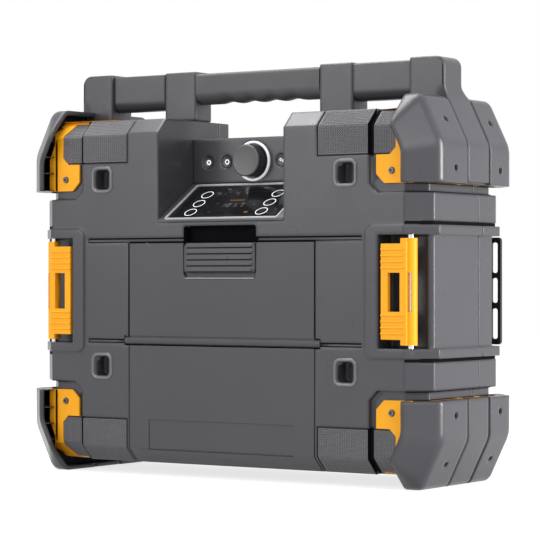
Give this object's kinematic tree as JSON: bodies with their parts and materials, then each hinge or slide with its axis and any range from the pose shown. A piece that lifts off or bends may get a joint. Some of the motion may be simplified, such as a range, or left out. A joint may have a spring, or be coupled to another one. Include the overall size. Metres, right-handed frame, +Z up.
{
  "type": "jobsite radio",
  "caption": "Dark grey tool-box jobsite radio with chamfered corner bumpers, yellow side latches, corner grilles, top handle, sloped display and a front door over a charging bay.",
  "frame": {"origin": "on the ground under the middle of the radio, at the centre of the bounding box's base", "axes": "+X to the viewer's right when facing the front, -Y out of the front, +Z up"},
  "size_m": [0.44, 0.171, 0.3715],
  "materials": {
    "dark_grey_plastic": "satin, fine grain",
    "yellow_plastic": "satin",
    "black_plastic": "fine grain",
    "light_grey_plastic": "satin, ridged",
    "grip_rubber": "soft, fine grain",
    "display_glass": "polished, smoked",
    "circuit_board": "solder mask",
    "steel": "turned",
    "black_steel": "blackened",
    "clear_ring": "polished, lit",
    "seal_rubber": "matt",
    "grille_mesh": "powder coat, woven",
    "speaker_black": "matt",
    "magnet": "plain",
    "knob_plastic": "satin",
    "key_gloss": "polished, ringed"
  },
  "bodies": {
    "radio": {"front_housing": "dark_grey_plastic", "rear_housing": "dark_grey_plastic", "lower_front_panel": "dark_grey_plastic", "control_fascia": "dark_grey_plastic", "handle_end_left": "dark_grey_plastic", "handle_end_right": "dark_grey_plastic", "handle_bars": "dark_grey_plastic", "handle_inner_posts": "dark_grey_plastic", "bumper_upper_left": "dark_grey_plastic", "bumper_upper_right": "dark_grey_plastic", "bumper_lower_left": "dark_grey_plastic", "bumper_lower_right": "dark_grey_plastic", "grip": "grip_rubber", "display_bezel": "light_grey_plastic", "display_glass": "display_glass", "lcd_module": "black_plastic", "port_panel": "black_plastic", "battery_dock": "black_plastic", "rear_catches": "black_plastic", "ac_inlet": "black_plastic", "device_bay": "black_plastic", "display_board": "circuit_board", "control_board": "circuit_board", "main_board": "circuit_board", "power_supply": "circuit_board", "encoder": "steel", "latch_pins": "steel", "door_hinge_pins": "steel", "handle_rod": "steel", "bumper_screws": "black_steel", "bracket_screws": "black_steel", "housing_screws": "black_steel", "light_ring": "clear_ring", "door_seal": "seal_rubber", "grille_upper_left": "grille_mesh", "grille_upper_right": "grille_mesh", "grille_lower_left": "grille_mesh", "grille_lower_right": "grille_mesh", "speaker_baskets": "speaker_black", "speaker_cones": "speaker_black", "speaker_magnets": "magnet", "bracket_upper_left": "yellow_plastic", "bracket_upper_right": "yellow_plastic", "bracket_lower_left": "yellow_plastic", "bracket_lower_right": "yellow_plastic"},
    "door_body": {"door": "dark_grey_plastic"},
    "door_latch_body": {"door_latch": "dark_grey_plastic"},
    "side_latch_left_body": {"side_latch_left": "yellow_plastic"},
    "side_latch_right_body": {"side_latch_right": "yellow_plastic"},
    "volume_knob_body": {"volume_knob": "knob_plastic"},
    "button_power_body": {"button_power": "knob_plastic"},
    "button_source_body": {"button_source": "knob_plastic"},
    "button_sound_body": {"button_sound": "knob_plastic"},
    "button_menu_body": {"button_menu": "knob_plastic"},
    "key_left_1_body": {"key_left_1": "key_gloss"},
    "key_left_2_body": {"key_left_2": "key_gloss"},
    "key_left_3_body": {"key_left_3": "key_gloss"},
    "key_right_1_body": {"key_right_1": "key_gloss"},
    "key_right_2_body": {"key_right_2": "key_gloss"},
    "key_right_3_body": {"key_right_3": "key_gloss"}
  },
  "joints": [
    {"name": "door_hinge", "type": "hinge", "parent": "radio", "child": "door_body", "pos_m": [0, -0.069, 0.12295], "axis": [1, 0, 0], "range_deg": [0, 90]},
    {"name": "door_latch_slide", "type": "slide", "parent": "door_body", "child": "door_latch_body", "axis": [0, 0, -1], "range_m": [0, 0.004], "stiffness_N_per_m": 600, "springref_m": -0.001},
    {"name": "latch_right_hinge", "type": "hinge", "parent": "radio", "child": "side_latch_right_body", "pos_m": [0.1931, -0.0666, 0.16825], "axis": [0, 0, 1], "range_deg": [0, 100]},
    {"name": "latch_left_hinge", "type": "hinge", "parent": "radio", "child": "side_latch_left_body", "pos_m": [-0.1931, -0.0666, 0.16825], "axis": [0, 0, -1], "range_deg": [0, 100]},
    {"name": "volume_spin", "type": "hinge", "parent": "radio", "child": "volume_knob_body", "pos_m": [0, -0.019, 0.2858], "axis": [0, 1, 0], "continuous": true},
    {"name": "button_power_press", "type": "slide", "parent": "radio", "child": "button_power_body", "axis": [0, 1, 0], "range_m": [0, 0.0008], "stiffness_N_per_m": 1200},
    {"name": "button_source_press", "type": "slide", "parent": "radio", "child": "button_source_body", "axis": [0, 1, 0], "range_m": [0, 0.0008], "stiffness_N_per_m": 1200},
    {"name": "button_sound_press", "type": "slide", "parent": "radio", "child": "button_sound_body", "axis": [0, 1, 0], "range_m": [0, 0.0008], "stiffness_N_per_m": 1200},
    {"name": "button_menu_press", "type": "slide", "parent": "radio", "child": "button_menu_body", "axis": [0, 1, 0], "range_m": [0, 0.0008], "stiffness_N_per_m": 1200},
    {"name": "key_left_1_press", "type": "slide", "parent": "radio", "child": "key_left_1_body", "axis": [0, 0.5283, -0.8491], "range_m": [0, 0.0008], "stiffness_N_per_m": 1000},
    {"name": "key_left_2_press", "type": "slide", "parent": "radio", "child": "key_left_2_body", "axis": [0, 0.5283, -0.8491], "range_m": [0, 0.0008], "stiffness_N_per_m": 1000},
    {"name": "key_left_3_press", "type": "slide", "parent": "radio", "child": "key_left_3_body", "axis": [0, 0.5283, -0.8491], "range_m": [0, 0.0008], "stiffness_N_per_m": 1000},
    {"name": "key_right_1_press", "type": "slide", "parent": "radio", "child": "key_right_1_body", "axis": [0, 0.5283, -0.8491], "range_m": [0, 0.0008], "stiffness_N_per_m": 1000},
    {"name": "key_right_2_press", "type": "slide", "parent": "radio", "child": "key_right_2_body", "axis": [0, 0.5283, -0.8491], "range_m": [0, 0.0008], "stiffness_N_per_m": 1000},
    {"name": "key_right_3_press", "type": "slide", "parent": "radio", "child": "key_right_3_body", "axis": [0, 0.5283, -0.8491], "range_m": [0, 0.0008], "stiffness_N_per_m": 1000}
  ]
}
